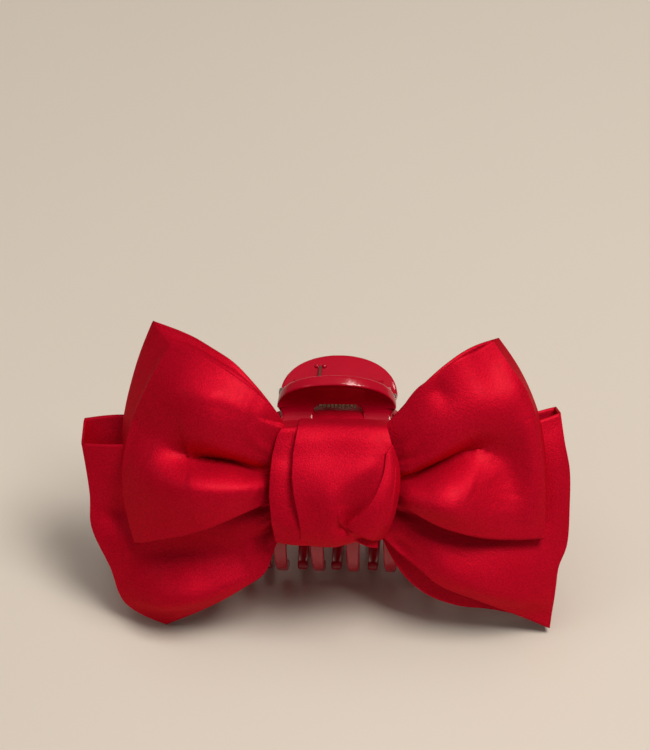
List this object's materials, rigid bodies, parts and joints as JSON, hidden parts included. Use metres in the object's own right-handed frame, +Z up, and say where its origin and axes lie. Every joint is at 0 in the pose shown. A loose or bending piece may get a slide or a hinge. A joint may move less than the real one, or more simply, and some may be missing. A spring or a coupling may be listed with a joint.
{
  "type": "hair bow",
  "caption": "Double satin hair bow with a folded knot, mounted on the front half of a spring claw clip with interlocking teeth.",
  "frame": {"origin": "middle of the bounding box's base, on the surface that the bow stands on", "axes": "+X across the bow, to the viewer's right when facing it; +Y from the bow's face towards the clip; +Z up, with the bow leaning back as it rests"},
  "size_m": [0.1378, 0.0682, 0.0822],
  "materials": {
    "satin": "red satin with a soft sheen",
    "clip_plastic": "glossy red",
    "spring_steel": "drawn wire, slightly warm",
    "pin_steel": "turned steel",
    "thread": "twisted polyester sewing thread",
    "glue": "set hot-melt glue"
  },
  "bodies": {
    "front_half": {"front_jaw": "clip_plastic", "hinge_pin": "pin_steel", "torsion_spring": "spring_steel", "front_bow": "satin", "rear_bow": "satin", "knot_band": "satin", "knot_overwrap": "satin", "tie_strip": "satin", "front_bow_thread": "thread", "rear_bow_thread": "thread", "glue_bead": "glue"},
    "rear_half": {"rear_jaw": "clip_plastic"}
  },
  "joints": [
    {"name": "jaw_hinge", "type": "hinge", "parent": "front_half", "child": "rear_half", "pos_m": [0.00341, 0.01753, 0.04907], "axis": [1, 0, 0], "range_deg": [0, 70], "stiffness_Nm_per_rad": 0.12, "springref_deg": -28.65, "deforming": ["torsion_spring"]}
  ]
}
